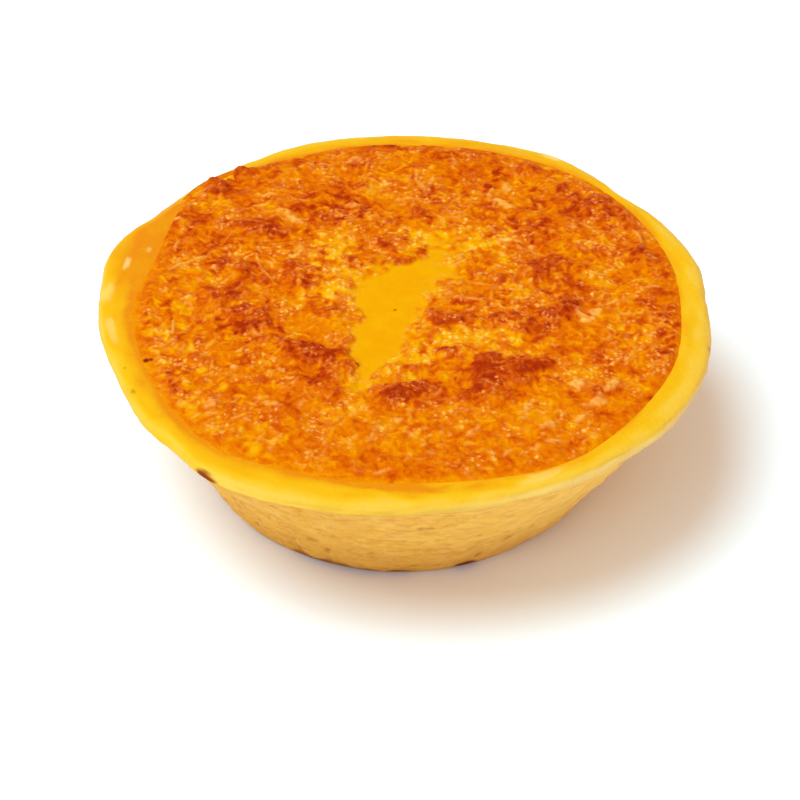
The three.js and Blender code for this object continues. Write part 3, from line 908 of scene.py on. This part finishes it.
def build_case(material):
    angle = 2 * math.pi * np.arange(CASE_AROUND) / CASE_AROUND
    rim, mouth = rim_radius(angle), mouth_radius(angle)
    rows, first_wall, last_rim = case_section(angle, rim, mouth)
    radius, z = rows[:, 0], rows[:, 1]
    shape = radius.shape
    azimuth = np.broadcast_to(angle, shape)
    pitch = (0.5, 2 * math.pi * RIM_RADIUS / CASE_AROUND)

    # The relief: waves all round, striae, lumps and pits on the wall, and a slightly chipped and lumpy rim.
    waves = noise_map(31, shape, (16, 16), pitch)
    striae = noise_map(32, shape, (0.9, 9), pitch)
    lumps = noise_map(33, shape, (1.6, 2.4), pitch)
    pits = np.maximum(noise_map(34, shape, (0.8, 1.3), pitch) - 1.5, 0)
    rim_lumps = noise_map(35, shape, (9, 5), pitch)
    chips = noise_map(38, shape, (5, 2.2), pitch) + 0.7 * noise_map(39, shape, (3, 0.9), pitch)
    moved = np.zeros(shape)
    moved[first_wall:last_rim] = 1
    on_wall = moved * (1 - smoothstep(z, WALL_TOP - 0.3, WALL_TOP + 0.3)) * smoothstep(z, 0, 1.5)
    radius = radius + moved * 0.2 * waves * smoothstep(z, 0, 2)
    radius = radius + on_wall * (0.07 * striae + 0.1 * lumps - 0.25 * pits)
    radius = radius + moved * (1 - on_wall) * 0.04 * lumps * smoothstep(z, WALL_TOP, HEIGHT - 1)
    on_side = smoothstep(z, WALL_TOP - 1.5, HEIGHT - 1.2) * smoothstep(radius - mouth, 0.8, 2.6)
    radius = radius + 0.03 * chips * on_side
    on_rim = smoothstep(z, WALL_TOP, HEIGHT - 1) * smoothstep(radius - mouth, 0.8, 2.2)
    z = z + moved * on_rim * 0.08 * (rim_lumps - 0.8)

    def marks(places, level):
        """How strongly the marks show, each laid out round the case and along the level, up or outward."""
        shown_there = np.zeros(shape)
        for at, middle, long, wide, strong in places:
            away = (np.degrees(azimuth) - at + 180) % 360 - 180
            spot = np.hypot(np.radians(away) * radius / long, (level - middle) / wide) + 0.25 * lumps
            shown_there = np.maximum(shown_there, strong * (1 - smoothstep(spot, 0.5, 1.3)))
        return shown_there

    edge = WALL_TOP + 0.45 + swell(GLAZE_EDGE_SWELLS, angle) + 0.12 * noise_map(36, shape, (400, 4), pitch)
    glaze = smoothstep(z, edge - 0.1, edge + 0.12) * moved
    side = glaze * (1 - smoothstep(z, HEIGHT - 0.8, HEIGHT - 0.3))
    on_top = moved * smoothstep(z, HEIGHT - 1.2, HEIGHT - 0.7)
    across = (rim - radius) / (rim - mouth) + 0.1 * noise_map(37, shape, (2, 4), pitch)
    across = across + marks(RIM_BLEEDS, radius) * on_top + swell(RIM_TONE_SWELLS, azimuth)
    burnt_and_pit_shade = np.maximum(marks(BURNT, z), marks(RIM_SPECKS, radius) * on_top)
    attributes = {
        "glaze": glaze,
        "across": np.clip(across, 0, 1),
        # Painted shade: darker towards the bottom of the wall and on its left front, less so at the front
        # right.
        "low": np.clip(1 - smoothstep(z, 0, 14) + swell(WALL_PAINTED_SHADE_SWELLS, azimuth), 0, 1),
        # Burnt places and specks, and painted shade in the wall's pits.
        "burnt_and_pit_shade": np.maximum(burnt_and_pit_shade, 0.4 * np.clip(pits, 0, 1) * on_wall),
        # Cream spots on the rim, some of them painted highlights, and a painted highlight along the rim's
        # lower side.
        "cream_and_highlight": np.maximum(marks(RIM_CREAM_AND_HIGHLIGHTS, radius) * on_top, side * swell(RIM_SIDE_HIGHLIGHT_SWELLS, azimuth)),
        "stain": marks(WALL_STAINS, z) * on_wall,
        # Painted light on the front right of the wall.
        "pale_and_painted_light": np.clip(swell(WALL_PAINTED_LIGHT_SWELLS, azimuth), 0, 1) * moved,
    }

    points = leaning(radius, azimuth, z).reshape(-1, 3)
    points[0:CASE_AROUND] = (0, 0, 0)
    grid = np.arange(radius.size).reshape(shape)
    here, above = grid[:-1], grid[1:]
    beside, above_beside = np.roll(here, -1, axis=1), np.roll(above, -1, axis=1)
    faces = np.stack([here, beside, above_beside, above], axis=-1).reshape(-1, 4)
    attributes = {key: value.reshape(-1) for key, value in attributes.items()}
    case = make_piece("pastry_case_baked", points, faces, material, attributes)
    weld(case)
    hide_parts("pastry_case")


def weld(piece):
    """Joins the corners that meet on the axis."""
    mesh = bmesh.new()
    mesh.from_mesh(piece.data)
    bmesh.ops.remove_doubles(mesh, verts=mesh.verts, dist=1e-6)
    mesh.to_mesh(piece.data)
    mesh.free()


# Table, light and camera, in metres

TABLE_REACH = 4


def build_table():
    n = Nodes("white_table")
    n.set(Base_Color=(0.93, 0.93, 0.93, 1), Roughness=0.9, Specular_IOR_Level=0.0)
    mesh = bpy.data.meshes.new("table")
    corners = [(x * TABLE_REACH, y * TABLE_REACH, 0) for x, y in ((-1, -1), (1, -1), (1, 1), (-1, 1))]
    mesh.from_pydata(corners, [], [(0, 1, 2, 3)])
    mesh.materials.append(n.material)
    table = bpy.data.objects.new("table", mesh)
    bpy.context.scene.collection.objects.link(table)


def build_light():
    world = bpy.data.worlds.new("studio")
    world.use_nodes = True
    world.node_tree.nodes["Background"].inputs["Color"].default_value = (*AMBIENT, 1)
    bpy.context.scene.world = world
    for name, colour, toward, width in LAMPS:
        toward = Vector(toward).normalized()
        sun = bpy.data.lights.new(name, "SUN")
        sun.angle = math.radians(width)
        sun.energy = math.pi / toward.z
        sun.color = colour
        lamp = bpy.data.objects.new(name, sun)
        lamp.rotation_mode = "QUATERNION"
        lamp.rotation_quaternion = toward.to_track_quat("Z", "Y")
        bpy.context.scene.collection.objects.link(lamp)


# The camera looks from the front. RIM_PIXEL is where the middle of the rim lies in the picture.
CAMERA_DISTANCE = 0.5
CAMERA_ELEVATION = math.radians(37.02)
LENS_PIXELS = 3814.5
IMAGE = 800
RIM_PIXEL = (403.9, 305.9)
ROLL = math.radians(0.56)


def build_camera():
    data = bpy.data.cameras.new("camera")
    data.sensor_width = 36
    data.lens = 36 * LENS_PIXELS / IMAGE
    data.clip_start = 0.01
    camera = bpy.data.objects.new("camera", data)
    bpy.context.scene.collection.objects.link(camera)
    back = Vector((0, -math.cos(CAMERA_ELEVATION), math.sin(CAMERA_ELEVATION)))
    middle = Vector((RIM_SHIFT * MM, 0, HEIGHT * MM))
    right = (RIM_PIXEL[0] - IMAGE / 2) / LENS_PIXELS
    up = (IMAGE / 2 - RIM_PIXEL[1]) / LENS_PIXELS
    facing = back.to_track_quat("Z", "Y").to_matrix()
    turn = Matrix.Rotation(math.atan(right), 3, "Y") @ Matrix.Rotation(-math.atan(up), 3, "X")
    camera.rotation_mode = "QUATERNION"
    camera.rotation_quaternion = (facing @ turn @ Matrix.Rotation(ROLL, 3, "Z")).to_quaternion()
    camera.location = middle + back * CAMERA_DISTANCE
    bpy.context.scene.camera = camera


bpy.context.scene.view_settings.view_transform = "Standard"
build_filling(filling_material())
build_case(pastry_material())
build_table()
build_light()
build_camera()
